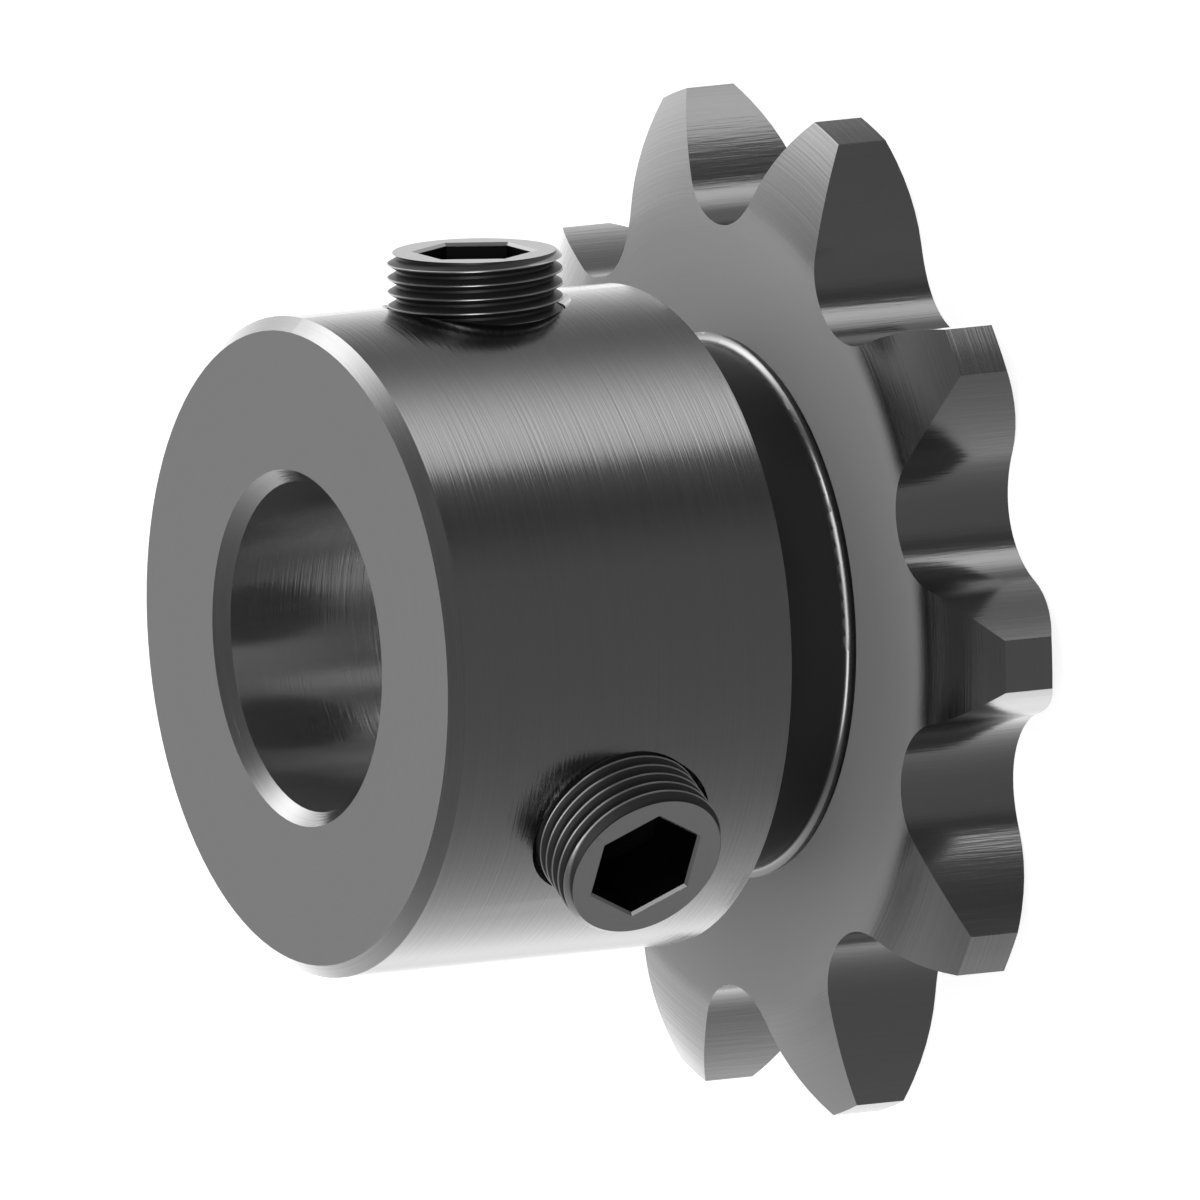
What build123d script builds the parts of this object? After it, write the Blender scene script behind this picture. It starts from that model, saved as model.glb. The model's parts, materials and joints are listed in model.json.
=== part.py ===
from build123d import *
import os
from math import asin, cos, pi, radians, sin, tan

# Hub sprocket for 3/8 inch pitch roller chain, with two set screws in its hub.
# Millimetres. The bore runs along +Z from the flat back of the tooth plate, at z = 0,
# up to the nose of the hub. +X looks along the first set screw.

# Chain that the teeth take
chain_pitch = 9.525
roller_diameter = 5.08
seat_clearance = 0.01

# Teeth
tooth_count = 10
tip_trim = 0.12
tip_land = 1.77
seat_half_angle = 58.0
plate_thickness = 4.27
relief_height = 4.66
relief_depth = 1.25

# Hub
hub_diameter = 22.225
hub_length = 12.80
groove_width = 3.50
groove_depth = 2.29
groove_fillet = 0.35
bore_diameter = 11.1125
edge_chamfer = 0.45

# Set screws, given along their own axis from the outside end inwards
screw_diameter = 5.90
screw_length = 6.00
screw_rim_chamfer = 0.20
socket_across_flats = 3.50
socket_bevel = 0.10
socket_depth = 2.60
socket_drill_depth = 0.45
point_diameter = 3.00
point_cup_diameter = 2.60
point_cup_depth = 0.60

# Tapped holes
thread_clearance = 0.05
mouth_chamfer = 0.27
screw_setback = 0.60
screw_2_angle = -120.0
screw_1_stand_out = 1.70
screw_2_stand_out = 1.99

# Sizes that follow from the ones above
half_step = pi / tooth_count
pitch_radius = chain_pitch / 2 / sin(half_step)
seat_radius = roller_diameter / 2 + seat_clearance
tip_radius = chain_pitch / 2 * (0.6 + 1 / tan(half_step)) - tip_trim
hub_radius = hub_diameter / 2
bore_radius = bore_diameter / 2
groove_radius = hub_radius - groove_depth
groove_top = plate_thickness + groove_width
nose_z = groove_top + hub_length
relief_radius = (relief_height**2 + relief_depth**2) / (2 * relief_depth)
relief_start = tip_radius - relief_height
screw_radius = screw_diameter / 2
hole_radius = screw_radius + thread_clearance
screw_z = groove_top + hub_length / 2 - screw_setback

# Each set screw's name, angle round the bore and distance of its face from the axis
set_screws = [
    ("set_screw_1", 0.0, hub_radius + screw_1_stand_out),
    ("set_screw_2", screw_2_angle, hub_radius + screw_2_stand_out),
]


def arc_middle(centre, radius, angle):
    """Point on a circle, the angle in radians from the first axis."""
    return (centre[0] + radius * cos(angle), centre[1] + radius * sin(angle))


def half_section():
    """Outline of the turned blank in the XZ plane, to the right of the bore's axis."""
    fillet_centre = (groove_radius + groove_fillet, plate_thickness + groove_fillet)
    half_turn = asin(relief_height / relief_radius) / 2
    back_centre = (relief_start, relief_radius)
    front_centre = (relief_start, plate_thickness - relief_radius)
    back_arc = ThreePointArc(
        (relief_start, 0),
        arc_middle(back_centre, relief_radius, -pi / 2 + half_turn),
        (tip_radius, relief_depth),
    )
    front_arc = ThreePointArc(
        (tip_radius, plate_thickness - relief_depth),
        arc_middle(front_centre, relief_radius, pi / 2 - half_turn),
        (relief_start, plate_thickness),
    )
    fillet_arc = ThreePointArc(
        (groove_radius + groove_fillet, plate_thickness),
        arc_middle(fillet_centre, groove_fillet, radians(225)),
        (groove_radius, plate_thickness + groove_fillet),
    )
    hub = Polyline(
        fillet_arc @ 1,
        (groove_radius, groove_top),
        (hub_radius, groove_top),
        (hub_radius, nose_z - edge_chamfer),
        (hub_radius - edge_chamfer, nose_z),
        (bore_radius + edge_chamfer, nose_z),
        (bore_radius, nose_z - edge_chamfer),
        (bore_radius, edge_chamfer),
        (bore_radius + edge_chamfer, 0),
        back_arc @ 0,
    )
    tip = Line(back_arc @ 1, front_arc @ 0)
    front_face = Line(front_arc @ 1, fillet_arc @ 0)
    outline = Wire([back_arc, tip, front_arc, front_face, fillet_arc, *hub.edges()])
    return Plane.XZ * make_face(outline.edges())


def tooth_gap():
    """Outline of one gap, centred on +X: a roller seat and two convex flanks."""
    reach = 0.8
    turn = radians(seat_half_angle)
    seat_end = Vector(pitch_radius - seat_radius * cos(turn), seat_radius * sin(turn))
    flank_way = Vector(sin(turn), cos(turn))
    into_tooth = Vector(-cos(turn), sin(turn))
    tip_angle = half_step - asin(tip_land / 2 / tip_radius)
    tip_corner = Vector(tip_radius * cos(tip_angle), tip_radius * sin(tip_angle))
    chord = tip_corner - seat_end
    flank_radius = chord.dot(chord) / (2 * chord.dot(into_tooth))
    flank_turn = 2 * asin(chord.length / 2 / flank_radius) + reach / flank_radius

    def on_flank(angle):
        along = flank_way * (flank_radius * sin(angle))
        return seat_end + along + into_tooth * (flank_radius * (1 - cos(angle)))

    flank_end = on_flank(flank_turn)
    flank = ThreePointArc(seat_end, on_flank(flank_turn / 2), flank_end)
    seat = ThreePointArc(
        (seat_end.X, -seat_end.Y), (pitch_radius - seat_radius, 0), seat_end
    )
    outside = tip_radius + 2 * reach
    rim = Polyline(
        flank_end, (outside, flank_end.Y), (outside, -flank_end.Y), (flank_end.X, -flank_end.Y)
    )
    return make_face([seat, flank, mirror(flank, Plane.XZ), *rim.edges()])


def radial_plane(angle, radius):
    """Plane square to a set screw's axis, its normal pointing away from the bore."""
    out = Vector(cos(radians(angle)), sin(radians(angle)), 0)
    around = Vector(-out.Y, out.X, 0)
    return Plane(origin=out * radius + Vector(0, 0, screw_z), x_dir=around, z_dir=out)


def tapped_hole(angle):
    """Hole for a set screw, from the middle of the bore out through the hub."""
    up = (Align.CENTER, Align.CENTER, Align.MIN)
    spread = hub_radius / 8
    shank = Cylinder(hole_radius, hub_radius + spread, align=up)
    countersink = Cone(
        hole_radius, hole_radius + mouth_chamfer + spread, mouth_chamfer + spread, align=up
    )
    return [
        radial_plane(angle, 0) * shank,
        radial_plane(angle, hub_radius - mouth_chamfer) * countersink,
    ]


def sprocket():
    """Hub, chain groove and toothed plate, cut from one bar."""
    blank = revolve(half_section(), Axis.Z)
    gap = extrude(tooth_gap(), plate_thickness * 2, both=True)
    gaps = [Rot(0, 0, 360 / tooth_count * i) * gap for i in range(tooth_count)]
    holes = []
    for _, angle, _ in set_screws:
        holes += tapped_hole(angle)
    return blank - gaps - holes


def set_screw():
    """Cup-point set screw with a hex socket, its outer face at z = 0 looking up."""
    point_radius = point_diameter / 2
    point_length = screw_radius - point_radius
    outline = Polyline(
        (0, 0),
        (screw_radius - screw_rim_chamfer, 0),
        (screw_radius, -screw_rim_chamfer),
        (screw_radius, point_length - screw_length),
        (point_radius, -screw_length),
        (point_cup_diameter / 2, -screw_length),
        (0, point_cup_depth - screw_length),
        close=True,
    )
    body = revolve(Plane.XZ * make_face(outline.edges()), Axis.Z)
    down = (Align.CENTER, Align.CENTER, Align.MAX)
    hexagon = RegularPolygon(socket_across_flats / 2, 6, major_radius=False)
    socket = extrude(hexagon, -socket_depth)
    drill_end = Pos(0, 0, -socket_depth) * Cone(
        0, socket_across_flats / 2, socket_drill_depth, align=down
    )
    body = body - socket - drill_end
    mouth = body.faces().sort_by(Axis.Z)[-1].inner_wires()[0].edges()
    return chamfer(mouth, socket_bevel)


def write(shape, name):
    """Save one piece under its own name."""
    shape.label = name
    export_step(shape, f"parts/{name}.step")


os.makedirs("parts", exist_ok=True)
write(sprocket(), "sprocket")
for name, angle, face_radius in set_screws:
    write(radial_plane(angle, face_radius) * set_screw(), name)
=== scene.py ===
# %% [markdown]
# # A chain sprocket with two set screws
# The part is one bar of steel, turned on a lathe and then cut into ten teeth, with two small
# threaded screws that hold it on its shaft. Its shapes and sizes come from the imported CAD
# model, which the first cell brings in from model.glb as a fixed frame. This lesson adds what the
# eye sees: the marks of the lathe and the cutter, the threads, the light and the camera. The CAD
# box is kept here, because the dressed part must fill the same box at the end.

import json
from math import cos, pi, radians, sin, tan

import bmesh
import bpy
from mathutils import Matrix, Vector


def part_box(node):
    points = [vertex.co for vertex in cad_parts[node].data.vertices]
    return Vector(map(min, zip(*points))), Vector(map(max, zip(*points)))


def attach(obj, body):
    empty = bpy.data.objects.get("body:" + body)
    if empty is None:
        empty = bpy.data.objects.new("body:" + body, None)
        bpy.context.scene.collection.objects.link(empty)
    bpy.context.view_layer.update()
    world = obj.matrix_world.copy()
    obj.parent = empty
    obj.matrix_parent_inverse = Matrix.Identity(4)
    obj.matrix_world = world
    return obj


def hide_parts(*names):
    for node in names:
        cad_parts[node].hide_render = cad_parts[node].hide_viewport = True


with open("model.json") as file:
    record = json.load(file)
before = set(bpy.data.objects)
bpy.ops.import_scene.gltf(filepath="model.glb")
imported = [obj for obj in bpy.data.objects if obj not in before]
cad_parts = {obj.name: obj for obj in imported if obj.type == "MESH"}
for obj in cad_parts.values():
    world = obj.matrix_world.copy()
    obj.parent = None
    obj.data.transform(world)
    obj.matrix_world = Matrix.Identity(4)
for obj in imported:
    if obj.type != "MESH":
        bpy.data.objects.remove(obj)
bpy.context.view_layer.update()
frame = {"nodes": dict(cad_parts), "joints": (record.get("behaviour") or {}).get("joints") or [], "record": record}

# %% [markdown]
# ## Sizes from the frame
# The scene is in metres and the part is only 35 mm wide, so the sizes below are written in
# millimetres and multiplied by `MM`. They could all be typed in again, but a number that the
# frame already holds is read from it: the top of the hub from the sprocket's box, the bore
# from its mount, and each screw's axis from its joint.

# %% Sizes read from the frame
MM = 0.001


def middle(node):
    """The centre of a node's box at rest, in mm."""
    low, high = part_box(node)
    return (low + high) / 2 / MM


nose_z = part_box("sprocket")[1].z / MM
screw_z = middle("set_screw_1").z
bore_radius = next(m["dims"]["r_mm"] for m in frame["record"]["mounts"] if m["name"] == "bore")
screw_axes = {joint["child"]: -Vector(joint["axis"]).normalized() for joint in frame["joints"]}
print("nose at", round(nose_z, 3), "screws at", round(screw_z, 3), "bore radius", bore_radius, "mm")

# %% [markdown]
# ## The camera
# The photograph looks at the nose of the hub from the front and a little above, with the part
# lying on its side, so the bore runs across the picture. Here the part stands on its tooth
# plate, so the camera is rolled by nearly a quarter turn to get the same picture. There is no
# perspective in the photograph, so the camera is orthographic, and its scale is the height
# of the picture. It aims at a point beside the nose, shifted until the part sits where it does
# in the photograph.

# %% Camera
view_azimuth = 9.926
view_elevation = 27.652
view_roll = -95.73
frame_height = 40.104
aim_shift = (10.120, 1.6065)
camera_distance = 200.0
nearest, farthest = 1.0, 5000.0

azimuth = radians(view_azimuth)
elevation = radians(view_elevation)
level = Vector((sin(azimuth), -cos(azimuth), 0))
to_camera = level * cos(elevation) + Vector((0, 0, sin(elevation)))
facing = (-to_camera).to_track_quat("-Z", "Y").to_matrix()
facing = facing @ Matrix.Rotation(radians(view_roll), 3, "Z")
right, up = facing.col[0], facing.col[1]
aim = Vector((0, 0, nose_z)) + right * aim_shift[0] + up * aim_shift[1]

camera_data = bpy.data.cameras.new("camera")
camera_data.type = "ORTHO"
camera_data.ortho_scale = frame_height * MM
camera_data.clip_start = nearest * MM
camera_data.clip_end = farthest * MM
camera = bpy.data.objects.new("camera", camera_data)
place = (aim + to_camera * camera_distance) * MM
camera.matrix_world = Matrix.Translation(place) @ facing.to_4x4()
scene = bpy.context.scene
scene.collection.objects.link(camera)
scene.camera = camera
print("camera looks along", [round(c, 3) for c in -to_camera])

# %% [markdown]
# ## Node trees from Python expressions
# A pattern such as turning marks is a formula of the place on the surface. Placing and linking
# each of its nodes by hand takes many lines that hide the formula. `Wire` wraps the output of
# a node instead, so that the formula is written as Python arithmetic, and each sign in it adds
# one Math node.

# %% Wires
class Wire:
    """The output of a node. Arithmetic on it adds Math nodes to its tree."""

    def __init__(self, tree, socket):
        self.tree = tree
        self.socket = socket

    def __getitem__(self, output):
        """Another output of the same node."""
        return Wire(self.tree, self.socket.node.outputs[output])

    def into(self, socket):
        """Feeds a socket of another node."""
        self.tree.links.new(self.socket, socket)

    def math(self, operation, *others):
        """The result of a Math node with this wire as its first value."""
        return self.tree.add("ShaderNodeMath", {"operation": operation}, self, *others)

    def clamped(self):
        """The same value, kept between 0 and 1."""
        return self.tree.add("ShaderNodeClamp", None, self)

    def rising(self, low, high):
        """0 below one value and 1 above another, with a smooth step between them."""
        smooth = {"interpolation_type": "SMOOTHSTEP"}
        return self.tree.add("ShaderNodeMapRange", smooth, self, low, high)

    def __add__(self, other):
        return self.math("ADD", other)

    def __sub__(self, other):
        return self.math("SUBTRACT", other)

    def __rsub__(self, other):
        return self * -1 + other

    def __mul__(self, other):
        return self.math("MULTIPLY", other)

    def __truediv__(self, other):
        return self.math("DIVIDE", other)

    def __abs__(self):
        return self.math("ABSOLUTE")

    def __lt__(self, other):
        return self.math("LESS_THAN", other)

    def __gt__(self, other):
        return self.math("GREATER_THAN", other)

    __radd__ = __add__
    __rmul__ = __mul__


print("wires: + - * / < > and abs each add a Math node")

# %% [markdown]
# `Tree.add` adds every other node by one call. A node's settings are set first, because some of
# them change which sockets it has, and then its sockets get values or wires.

# %% Trees
class Tree:
    """A node tree that grows by one call a node."""

    def __init__(self, node_tree):
        self.nodes = node_tree.nodes
        self.links = node_tree.links

    def add(self, kind, settings=None, *terms, **sockets):
        """Adds a node. Terms fill its sockets in order, and the others go by their names."""
        node = self.nodes.new(kind)
        for name, value in (settings or {}).items():
            setattr(node, name, value)
        values = dict(enumerate(terms))
        values.update({name.replace("_", " "): value for name, value in sockets.items()})
        for name, value in values.items():
            if isinstance(value, Wire):
                value.into(node.inputs[name])
            else:
                node.inputs[name].default_value = value
        return Wire(self, node.outputs[0])

    def vector(self, x=0.0, y=0.0, z=0.0):
        """A vector from three numbers or wires."""
        return self.add("ShaderNodeCombineXYZ", None, x, y, z)

    def parts(self, vector):
        """The three numbers of a vector."""
        parts = self.add("ShaderNodeSeparateXYZ", None, vector)
        return parts["X"], parts["Y"], parts["Z"]


def new_metal(name):
    """A material, its tree and its shader, ready for a metal finish."""
    material = bpy.data.materials.new(name)
    material.use_nodes = True
    return material, Tree(material.node_tree), material.node_tree.nodes["Principled BSDF"]


def in_mm(tree, place):
    """The three coordinates of a place in mm."""
    scaled = tree.add("ShaderNodeVectorMath", {"operation": "SCALE"}, place, Scale=1 / MM)
    return tree.parts(scaled)


print("trees: Tree, new_metal and in_mm are defined")

# %% [markdown]
# ## Marks of the lathe
# A lathe leaves fine rings round the axis: rings on the flat faces and hoops on the hub. An
# image of scratches could show them, but it would need unwrapping and would stretch. Here one
# noise makes both. It changes quickly with the radius and with the height, and slowly with the
# angle, which draws it out into long streaks. The angle goes in as its cosine and sine, so that
# no seam shows where it starts again, and that takes a noise of four dimensions.

# %% Lathe marks
rings_per_mm = 10.0
streak_turn = 1.2
streaks = {"Scale": 1.0, "Detail": 3.0, "Roughness": 0.6}


def lathe_marks(tree, x, y, z, radius):
    """Streaks that run round the Z axis."""
    across = x / radius * streak_turn
    along_turn = y / radius * streak_turn
    turned = tree.vector(across, along_turn, radius * rings_per_mm)
    settings = {"noise_dimensions": "4D"}
    return tree.add("ShaderNodeTexNoise", settings, turned, z * rings_per_mm, **streaks)


print("lathe marks:", rings_per_mm, "rings a mm")

# %% [markdown]
# ## Marks of the tooth cutter
# The cutter that made the tooth gaps moved along the bore, so it left lines across the plate's
# thickness. The same kind of noise is stretched along Z for them. Both kinds of mark do the
# same to the metal: they tilt its surface, by a bump far smaller than a shape worth modelling,
# and they tint it and change its gloss a little.

# %% Cutter marks and the dressing of a metal
cuts_per_mm = 7.0
cut_length = 3.0
mark_average = 0.5
mark_tint = 0.12
mark_gloss = 0.06


def cutter_marks(tree, x, y, z):
    """Streaks that run along the Z axis."""
    stretched = tree.vector(x * cuts_per_mm, y * cuts_per_mm, z / cut_length)
    return tree.add("ShaderNodeTexNoise", None, stretched, **streaks)


def dress(tree, shader, grey, roughness, metallic, marks, mark_height):
    """Wires a metal finish and its marks to the shader."""
    swing = marks - mark_average
    bump = tree.add("ShaderNodeBump", None, Height=marks, Distance=mark_height * MM)
    (grey * (swing * mark_tint + 1)).into(shader.inputs["Base Color"])
    (roughness + swing * mark_gloss).into(shader.inputs["Roughness"])
    metallic.into(shader.inputs["Metallic"])
    bump.into(shader.inputs["Normal"])


print("cutter marks:", cuts_per_mm, "lines a mm,", cut_length, "mm long")

# %% [markdown]
# ## Where each finish lies on the sprocket
# The sprocket is one piece, but its surfaces differ. The hub and the teeth are polished, the
# flat faces are satin from the facing cut, the chain groove is painted near black, a painted
# shade for its recess, and the reamed bore is painted palest, a painted light inside the hole.
# It could be cut into pieces with one material each, but it is one bar, and its CAD mesh stays
# as it is. So each finish gets a mask, which is 1 where it lies and 0 elsewhere, made from the
# place and the way the surface faces.

# %% Masks of the sprocket
plate_front = 4.27
groove_top = 7.77
groove_radius = 8.82
fillet_reach = 0.50
fillet_fade = (0.14, 0.28)
root_radius = 12.86
root_reach = 0.30
tip_radius = 17.395
margin = 0.02
steep = 0.05
half_level = 0.5
level_from, level_to = 0.990, 0.9997

turned_steel, steel, steel_shader = new_metal("turned_steel")
surface = steel.add("ShaderNodeTexCoord")
x, y, z = in_mm(steel, surface["Object"])
radius = (x * x + y * y).math("SQRT")
levelness = abs(steel.parts(surface["Normal"])[2])

flat_face = levelness.rising(level_from, level_to)
on_plate = (z < plate_front + margin) * (z > plate_front / 2)
near_groove = (radius < groove_radius + fillet_reach) * (z > plate_front + margin / 2)
near_groove = near_groove * (z < groove_top - margin)
# The groove's mask fades out down the fillet, so its painted shade stops short of the plate.
in_groove = near_groove * z.rising(plate_front + fillet_fade[0], plate_front + fillet_fade[1])
in_bore = (radius < bore_radius + margin) * (levelness < half_level)
in_gap = (radius > root_radius - root_reach) * (radius < tip_radius - margin) * (levelness < steep)
print("masks:", len(turned_steel.node_tree.nodes), "nodes")

# %% [markdown]
# ## Turned steel
# A finish is a grey, a roughness and a share of metal. The satin faces have the smallest share:
# a fine facing cut scatters light almost as chalk does, which a rough metal alone doesn't show.
# On the plate the satin is paler and less metallic than on the nose. This is a painted light that
# evens out the shade the hub casts on the plate.
# The values start from the polished ones, and each mask blends its own over them. The marks
# don't show equally on all of them, so `calm` holds them back where they are faint.

# %% Sprocket finish
polished = {"grey": 0.34, "roughness": 0.17, "metallic": 1.0}
nose_satin = {"grey": 0.295, "roughness": 0.48, "metallic": 0.40}
# Paler and less metallic than the nose's satin: a painted light against the hub's shade on the plate.
plate_satin_and_painted_light = {"grey": 0.44, "roughness": 0.48, "metallic": 0.12}
# A near-black grey for the chain groove and the upper part of its fillet: a painted shade for the recess.
groove_painted_shade = {"grey": 0.06, "roughness": 0.35, "metallic": 1.0}
# The bore's pale, slightly diffuse grey is a painted light that stands in for the light lost between its walls.
reamed_with_painted_light = {"grey": 0.56, "roughness": 0.14, "metallic": 0.91}
groove_calm = 0.80
bore_calm = 0.55
satin_calm = 0.50
gap_calm = 0.30
sprocket_mark_height = 0.010


def blended(mask, off, on):
    """One value where a mask is 0 and another where it is 1."""
    return mask * (on - off) + off


finish = {}
for name, value in polished.items():
    satin = blended(on_plate, nose_satin[name], plate_satin_and_painted_light[name])
    value = blended(flat_face, value, satin)
    value = blended(in_groove, value, groove_painted_shade[name])
    finish[name] = blended(in_bore, value, reamed_with_painted_light[name])

marks = blended(in_gap, lathe_marks(steel, x, y, z, radius), cutter_marks(steel, x, y, z))
calm = near_groove * groove_calm + in_bore * bore_calm
calm = calm + flat_face * satin_calm + in_gap * gap_calm
marks = blended(calm.clamped(), marks, mark_average)
dress(steel, steel_shader, **finish, marks=marks, mark_height=sprocket_mark_height)
frame["nodes"]["sprocket"].data.materials.clear()
frame["nodes"]["sprocket"].data.materials.append(turned_steel)
print("turned steel:", len(turned_steel.node_tree.nodes), "nodes")

# %% [markdown]
# ## Screw steel
# The screws have a black oxide finish. It stays in their threads and sockets and is rubbed off
# the crests and the outer face, which are bare. The crests are also painted paler than bare steel,
# a painted highlight along each crest line, and the sockets darker than the oxide, a painted
# shade in their depth. The two screws point different ways, so a pattern on Object coordinates
# would need a turned copy for each. Instead the Geometry Nodes below store every point's own
# place on its screw in an attribute, and one material reads it: the distance from the screw's
# axis, and the depth below its outer face. The two add up to the same number all over the rim's
# 45 degree chamfer, which tells it from the thread that cuts it.

# %% Screw finish
own_place = "own_place"
crest_radius = 2.95
crest_fade = (0.05, 0.01)
rim_line = (2.70, 2.74)
face_depth = 0.005
mouth_depth = 0.12
socket_reach = 2.15
socket_shade = 0.92
oxide = {"grey": 0.05, "roughness": 0.45, "metallic": 0.7}
bare = {"grey": 0.35, "roughness": 0.30, "metallic": 1.0}
crest_wear_and_highlight_grey = 0.50
screw_mark_height = 0.0015

screw_steel, screw_tree, screw_shader = new_metal("screw_steel")
own = screw_tree.add("ShaderNodeAttribute", {"attribute_name": own_place})["Vector"]
x, y, z = in_mm(screw_tree, own)
radius = (x * x + y * y).math("SQRT")
on_crest = radius.rising(crest_radius - crest_fade[0], crest_radius - crest_fade[1])
on_face = (z > -face_depth) + (radius < socket_reach) * (z > -mouth_depth)
rubbed = (on_crest + (radius + z).rising(*rim_line) + on_face).clamped()
in_socket = (radius < socket_reach) * (z < -mouth_depth)

finish = {name: blended(rubbed, oxide[name], bare[name]) for name in oxide}
# The crests are raised above bare grey: they are worn bare, and carry a painted highlight along each crest.
finish["grey"] = finish["grey"] + on_crest * (crest_wear_and_highlight_grey - bare["grey"])
# The socket is darkened far below the oxide: a painted shade in its depth.
finish["grey"] = finish["grey"] * (1 - in_socket * socket_shade)
marks = lathe_marks(screw_tree, x, y, z, radius)
dress(screw_tree, screw_shader, **finish, marks=marks, mark_height=screw_mark_height)
print("screw steel:", len(screw_steel.node_tree.nodes), "nodes")

# %% [markdown]
# ## The screw blank
# Each set screw starts as a turned blank: a short rod with a chamfered rim at its outer end and
# a cup point at the other, whose sharp ring bites the shaft. A cylinder with modelled ends would
# do, but a profile turned round the axis is how it is made, and one list of corners holds it
# all. Its doubles are merged and its faces turned outwards, because spinning leaves both wrong.

# %% Turned blank
screw_length = 6.00
rim_chamfer = 0.20
point_diameter = 3.00
cup_diameter = 2.60
cup_depth = 0.60
round_steps = 144
merge_within = 0.0005


def lathe(name, profile):
    """A solid of revolution round the Z axis, from a profile of (radius, height) in mm."""
    shape = bmesh.new()
    corners = [shape.verts.new((radius * MM, 0, height * MM)) for radius, height in profile]
    edges = [shape.edges.new(pair) for pair in zip(corners, corners[1:])]
    bmesh.ops.spin(
        shape, geom=corners + edges, axis=(0, 0, 1), cent=(0, 0, 0), dvec=(0, 0, 0),
        angle=2 * pi, steps=round_steps, use_merge=True,
    )
    bmesh.ops.remove_doubles(shape, verts=shape.verts, dist=merge_within * MM)
    bmesh.ops.recalc_face_normals(shape, faces=shape.faces)
    mesh = bpy.data.meshes.new(name)
    shape.to_mesh(mesh)
    shape.free()
    return mesh


point_radius = point_diameter / 2
blank_profile = [
    (0, 0),
    (crest_radius - rim_chamfer, 0),
    (crest_radius, -rim_chamfer),
    (crest_radius, crest_radius - point_radius - screw_length),
    (point_radius, -screw_length),
    (cup_diameter / 2, -screw_length),
    (0, cup_depth - screw_length),
]
blank_mesh = lathe("screw_blank", blank_profile)
print("blank:", len(blank_mesh.polygons), "faces")

# %% [markdown]
# ## The thread
# A die cuts the thread: a V-shaped groove that climbs round the screw by one pitch a turn. A
# bump would shade it, but the outline of the screw would stay straight, and the photograph
# shows its teeth against the white. Geometry Nodes are right here, because the groove is one
# profile that follows one path. The helix runs past both ends of the screw, so that the cut
# has no end on it.

# %% Thread cutter
thread_half_angle = 30.0
thread_overrun = 0.6
steps_per_turn = 96
same_point = 0.1


def ring_of_points(tree, points):
    """A closed curve through a few points of the XY plane."""
    line = tree.add("GeometryNodeMeshLine", {"mode": "OFFSET"}, Count=len(points))
    index = tree.add("GeometryNodeInputIndex")
    place = tree.vector()
    for number, (x, y) in enumerate(points):
        chosen = tree.add("ShaderNodeMath", {"operation": "COMPARE"}, index, number, same_point)
        term = tree.vector(chosen * x, chosen * y)
        place = tree.add("ShaderNodeVectorMath", {"operation": "ADD"}, place, term)
    placed = tree.add("GeometryNodeSetPosition", None, line, Position=place)
    curve = tree.add("GeometryNodeMeshToCurve", None, placed)
    return tree.add("GeometryNodeSetSplineCyclic", None, curve, Cyclic=True)


def thread_cutter(tree, given):
    """A V-shaped profile swept along a helix."""
    crest = given["Crest Radius"]
    root = given["Root Radius"]
    pitch = given["Pitch"]
    half_top = (pitch - given["Crest Flat"]) / 2
    half_root = half_top - (crest - root) * tan(radians(thread_half_angle))
    profile = ring_of_points(tree, [
        (root - crest, half_root * -1),
        (root - crest, half_root),
        (0.0, half_top),
        (pitch, half_top),
        (pitch, half_top * -1),
        (0.0, half_top * -1),
    ])
    turns = (given["Length"] + 2 * thread_overrun * MM) / pitch
    helix = tree.add(
        "GeometryNodeCurveSpiral", None, Resolution=steps_per_turn, Rotations=turns,
        Start_Radius=crest, End_Radius=crest, Height=turns * pitch, Reverse=True,
    )
    start = given["Start Height"] - given["Length"] - thread_overrun * MM
    lowered = tree.add("GeometryNodeTransform", None, helix, Translation=tree.vector(z=start))
    upright = tree.add("GeometryNodeSetCurveNormal", {"mode": "Z_UP"}, lowered)
    swept = tree.add("GeometryNodeCurveToMesh", None, upright, profile, Fill_Caps=True)
    return tree.add("GeometryNodeFlipFaces", None, swept)


print("thread cutter:", steps_per_turn, "steps a turn")

# %% [markdown]
# ## The socket
# The key fits a hexagonal socket. It is drilled first, which leaves a shallow cone at its foot,
# then punched to six flats, and its mouth has a small bevel. Three plain solids with the same
# axis make it when they are taken away from the blank one after the other. The solids overlap
# a little, because faces that only meet leave slivers.

# %% Socket punch
socket_sides = 6
socket_clear = 0.5
bevel_shrink = 0.999
drill_share = 0.96
drill_overlap = 0.02
drill_sides = 48


def socket_punch(tree, given):
    """A hexagonal prism, the bevel at its mouth and the drilled cone at its foot."""
    half_flats = given["Across Flats"] / 2
    corner_radius = half_flats / cos(pi / socket_sides)
    depth = given["Socket Depth"]
    clear = socket_clear * MM
    closed = {"fill_type": "NGON"}
    prism = tree.add(
        "GeometryNodeMeshCylinder", closed, Vertices=socket_sides,
        Radius=corner_radius, Depth=depth + clear,
    )
    bevel = tree.add(
        "GeometryNodeMeshCone", closed, Vertices=socket_sides, Depth=clear,
        Radius_Top=corner_radius + clear, Radius_Bottom=corner_radius * bevel_shrink,
    )
    drill = tree.add(
        "GeometryNodeMeshCone", closed, Vertices=drill_sides, Radius_Bottom=0.0,
        Radius_Top=half_flats * drill_share, Depth=given["Drill Depth"] + drill_overlap * MM,
    )
    heights = [(clear - depth) / 2, given["Bevel"] * -1, (depth + given["Drill Depth"]) * -1]
    return [
        tree.add("GeometryNodeTransform", None, solid, Translation=tree.vector(z=height))
        for solid, height in zip((prism, bevel, drill), heights)
    ]


print("socket:", socket_sides, "flats over a cone of", drill_sides, "sides")

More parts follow.
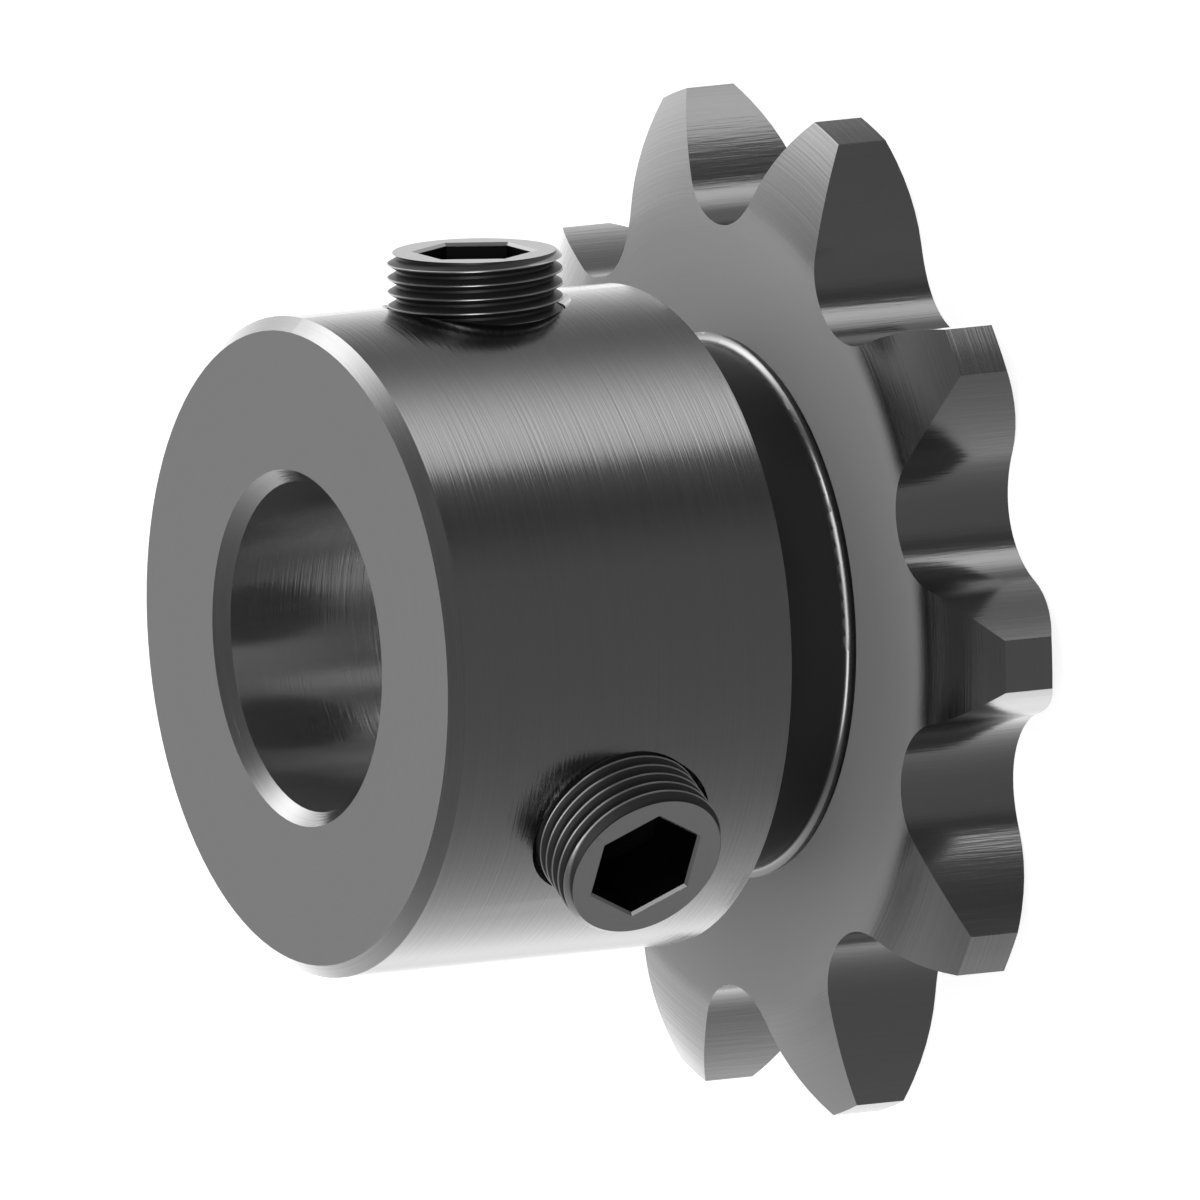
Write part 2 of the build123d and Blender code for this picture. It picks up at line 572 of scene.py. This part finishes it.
# %% [markdown]
# ## The screw's node group
# One group holds the whole job, with a named input for each size, so both screws come from it
# with their own start of thread. It cuts the blank, merges the points that the cutting doubles,
# shades the thread smooth and the edges sharp, and stores each point's own place for the
# material. It ends in Realize Instances and Set Material, because an export keeps only real
# mesh and its material.

# %% Screw group
screw_sizes = {
    "Crest Radius": crest_radius,
    "Root Radius": 2.64,
    "Crest Flat": 0.03,
    "Pitch": 0.475,
    "Length": screw_length,
    "Start Height": 0.0,
    "Across Flats": 3.50,
    "Socket Depth": 2.60,
    "Bevel": 0.10,
    "Drill Depth": 0.45,
}
smooth_below = 28.0


def sized_group(name, sizes):
    """A Geometry Nodes group that takes a mesh, the named sizes and a material."""
    group = bpy.data.node_groups.new(name, "GeometryNodeTree")
    sockets = group.interface
    sockets.new_socket("Geometry", in_out="INPUT", socket_type="NodeSocketGeometry")
    for size_name, size in sizes.items():
        socket = sockets.new_socket(size_name, in_out="INPUT", socket_type="NodeSocketFloat")
        socket.default_value = size * MM
    sockets.new_socket("Material", in_out="INPUT", socket_type="NodeSocketMaterial")
    sockets.new_socket("Geometry", in_out="OUTPUT", socket_type="NodeSocketGeometry")
    return group, Tree(group)


cutting, cut_tree = sized_group("set_screw_cutting", screw_sizes)
given = cut_tree.add("NodeGroupInput")
cut = given["Geometry"]
difference = {"operation": "DIFFERENCE", "solver": "EXACT"}
for cutter in [thread_cutter(cut_tree, given)] + socket_punch(cut_tree, given):
    cut = cut_tree.add("GeometryNodeMeshBoolean", difference, cut, cutter)
cut = cut_tree.add("GeometryNodeMergeByDistance", None, cut, Distance=merge_within * MM)
print("cutting group:", len(cutting.nodes), "nodes")

# %% Shading, own place and material
gentle = cut_tree.add("GeometryNodeInputMeshEdgeAngle") < radians(smooth_below)
shaded = cut_tree.add(
    "GeometryNodeSetShadeSmooth", {"domain": "FACE"}, cut, Shade_Smooth=True,
)
shaded = cut_tree.add(
    "GeometryNodeSetShadeSmooth", {"domain": "EDGE"}, shaded, Shade_Smooth=gentle,
)
here = cut_tree.add("GeometryNodeInputPosition")
labelled = cut_tree.add(
    "GeometryNodeStoreNamedAttribute", {"data_type": "FLOAT_VECTOR"}, shaded,
    Name=own_place, Value=here,
)
solid = cut_tree.add("GeometryNodeRealizeInstances", None, labelled)
dressed = cut_tree.add("GeometryNodeSetMaterial", None, solid, Material=given["Material"])
dressed.into(cut_tree.nodes.new("NodeGroupOutput").inputs["Geometry"])
print("cutting group:", len(cutting.nodes), "nodes")

# %% [markdown]
# ## The two set screws
# The photograph shows both screws part screwed in, with their threads starting at different
# turns. Each is evaluated from the group into a plain mesh, turned to point away from the bore
# and moved out until its face is where its CAD node's is. It rides on that node's body, so it
# moves when the screw is driven in, and it takes the plain node's place in the picture.

# %% Set screws
thread_starts = {"set_screw_1": -0.28, "set_screw_2": -0.12}


def evaluated_mesh(name, base_mesh, group, inputs):
    """The plain mesh that a node group makes of a base mesh."""
    maker = bpy.data.objects.new(name + "_maker", base_mesh)
    scene.collection.objects.link(maker)
    modifier = maker.modifiers.new("making", "NODES")
    modifier.node_group = group
    items = [item for item in group.interface.items_tree if item.in_out == "INPUT"]
    sockets = {item.name: item.identifier for item in items}
    for input_name, value in inputs.items():
        modifier[sockets[input_name]] = value
    graph = bpy.context.evaluated_depsgraph_get()
    mesh = bpy.data.meshes.new_from_object(maker.evaluated_get(graph))
    bpy.data.objects.remove(maker)
    mesh.name = name
    return mesh


upwards = Vector((0, 0, 1))
for node, start in thread_starts.items():
    inputs = {"Start Height": start * MM, "Material": screw_steel}
    mesh = evaluated_mesh(node, blank_mesh, cutting, inputs)
    out = screw_axes[node]
    face = max(vertex.co.dot(out) for vertex in frame["nodes"][node].data.vertices)
    turn = Matrix((upwards.cross(out), upwards, out)).transposed().to_4x4()
    mesh.transform(Matrix.Translation(out * face + upwards * screw_z * MM) @ turn)
    screw = bpy.data.objects.new("threaded_" + node, mesh)
    scene.collection.objects.link(screw)
    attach(screw, node)
    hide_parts(node)
    print(node, "faces", len(mesh.polygons), "outer face at", round(face / MM, 3), "mm")

# %% [markdown]
# ## The light
# Metal shows its surroundings more than its own colour, so the light matters as much as the
# finish. Area lamps would light it, but they would also show as hard shapes in the polished
# hub. The studio is drawn in the world's shader instead: it is nearly dark in front of the
# part and pale behind it, and has two soft lamps. Each is a lobe, a smooth spot round one
# direction of the sky. A lobe's sharpness says how small the spot is. The side lamp is cut off
# along a line, as by the edge of a panel. A flag is the opposite of a lamp, a dark card that
# takes light away from one direction.

# %% Lobes of the sky
world = bpy.data.worlds.new("studio")
world.use_nodes = True
scene.world = world
scene.view_settings.view_transform = "Standard"
sky = Tree(world.node_tree)
looking = sky.add("ShaderNodeTexCoord")["Generated"]


def direction(azimuth, elevation=0):
    """Unit vector of a direction: azimuth from +X towards +Y, elevation above the floor."""
    turn = radians(azimuth)
    rise = radians(elevation)
    return Vector((cos(turn) * cos(rise), sin(turn) * cos(rise), sin(rise)))


def along(vector):
    """How far a direction of the sky points along a vector, from -1 to 1."""
    settings = {"operation": "DOT_PRODUCT"}
    return sky.add("ShaderNodeVectorMath", settings, looking, vector)["Value"]


def lobe(azimuth, elevation, sharpness, strength):
    """Brightness of one soft spot of the sky."""
    falling = (along(direction(azimuth, elevation)) - 1) * sharpness
    return falling.math("EXPONENT") * strength


print("sky:", len(world.node_tree.nodes), "nodes")

# %% Lamps
front_level = 0.15
backdrop = lobe(azimuth=112, elevation=-20, sharpness=2.8, strength=1.8)
key_lamp = lobe(azimuth=46, elevation=21, sharpness=14.0, strength=2.6)
side_lamp = lobe(azimuth=-10, elevation=-44, sharpness=14.0, strength=1.75)
side_lamp_facing = 65
side_lamp_blur = 0.06
side_lamp = side_lamp * (along(direction(side_lamp_facing)) / side_lamp_blur).clamped()
brightness = front_level + backdrop + key_lamp + side_lamp
print("lamps: backdrop, key lamp and side lamp over a level of", front_level)

# %% [markdown]
# The satin faces would be dull with the dark front alone. A wide strip light above the camera
# reaches them, low enough that the polished chamfer of the nose doesn't mirror it.

# %% Strip light and flags
strip_azimuth = -80
strip_low, strip_high = 16, 44
strip_fade = 8
strip_sides = (0.25, 0.60)
strip_strength = 2.5
flags = {
    "over_the_back": {"azimuth": 103, "elevation": 43, "sharpness": 60.0, "strength": 1.0},
    "overhead": {"azimuth": 100, "elevation": 80, "sharpness": 8.0, "strength": 0.40},
    "low_behind": {"azimuth": 122, "elevation": 12, "sharpness": 20.0, "strength": 0.40},
    "on_the_backdrop": {"azimuth": 117, "elevation": -29, "sharpness": 60.0, "strength": 0.40},
    "beside_the_key_lamp": {"azimuth": 38, "elevation": -28, "sharpness": 12.0, "strength": 0.55},
    "beside_the_side_lamp": {"azimuth": -41, "elevation": -28, "sharpness": 40.0, "strength": 0.55},
}
height = along(upwards)
strip = height.rising(sin(radians(strip_low)), sin(radians(strip_low + strip_fade)))
strip = strip - height.rising(sin(radians(strip_high - strip_fade)), sin(radians(strip_high)))
strip = strip * along(direction(strip_azimuth)).rising(*strip_sides)
brightness = brightness + strip * strip_strength
for flag in flags.values():
    brightness = brightness * (1 - lobe(**flag))
print("flags:", ", ".join(flags))

# %% [markdown]
# The page of the photograph is white. The camera sees white wherever it looks past the floor,
# and so would glass. Is Glossy Ray is usually added too, so that metal shows the page. Here the
# metal would turn one even grey, and the photograph shows it with dark and bright bands, so its
# reflections keep the studio and its lamps.

# %% World
rays = sky.add("ShaderNodeLightPath")
page = (rays["Is Camera Ray"] + rays["Is Transmission Ray"]).clamped()
white = (1, 1, 1, 1)
background = world.node_tree.nodes["Background"]
background.inputs["Color"].default_value = white
blended(page, brightness, 1).into(background.inputs["Strength"])
print("world:", len(world.node_tree.nodes), "nodes")

# %% [markdown]
# ## The floor
# The part stands on a plain white floor, which takes the shadow of its teeth. The floor glows
# a little for the camera, so that it is white at any angle and the shadow still shows. From
# above, every upright wall of the part mirrors the floor. The floor is hidden from reflections
# and casts no shadow, so these walls show the studio's dark and bright bands instead, as in the
# photograph, where the part lies on its side and has no floor beside it.

# %% Floor
floor_half = 3.0
floor_grey = 0.8
floor_glow = 0.75
floor_corners = [(-floor_half, -floor_half), (floor_half, -floor_half)]
floor_corners += [(floor_half, floor_half), (-floor_half, floor_half)]
floor_mesh = bpy.data.meshes.new("floor")
floor_mesh.from_pydata([(x, y, 0) for x, y in floor_corners], [], [range(len(floor_corners))])
floor = bpy.data.objects.new("floor", floor_mesh)
scene.collection.objects.link(floor)
floor.visible_glossy = False
floor.visible_shadow = False

floor_white, floor_tree, floor_shader = new_metal("floor_white")
rays = floor_tree.add("ShaderNodeLightPath")
seen = (rays["Is Camera Ray"] + rays["Is Glossy Ray"] + rays["Is Transmission Ray"]).clamped()
seen.into(floor_shader.inputs["Emission Color"])
floor_shader.inputs["Emission Strength"].default_value = floor_glow
floor_shader.inputs["Base Color"].default_value = (floor_grey, floor_grey, floor_grey, 1)
floor_shader.inputs["Roughness"].default_value = 1.0
floor_shader.inputs["Specular IOR Level"].default_value = 0.0
floor_mesh.materials.append(floor_white)
print("floor:", 2 * floor_half, "m wide")
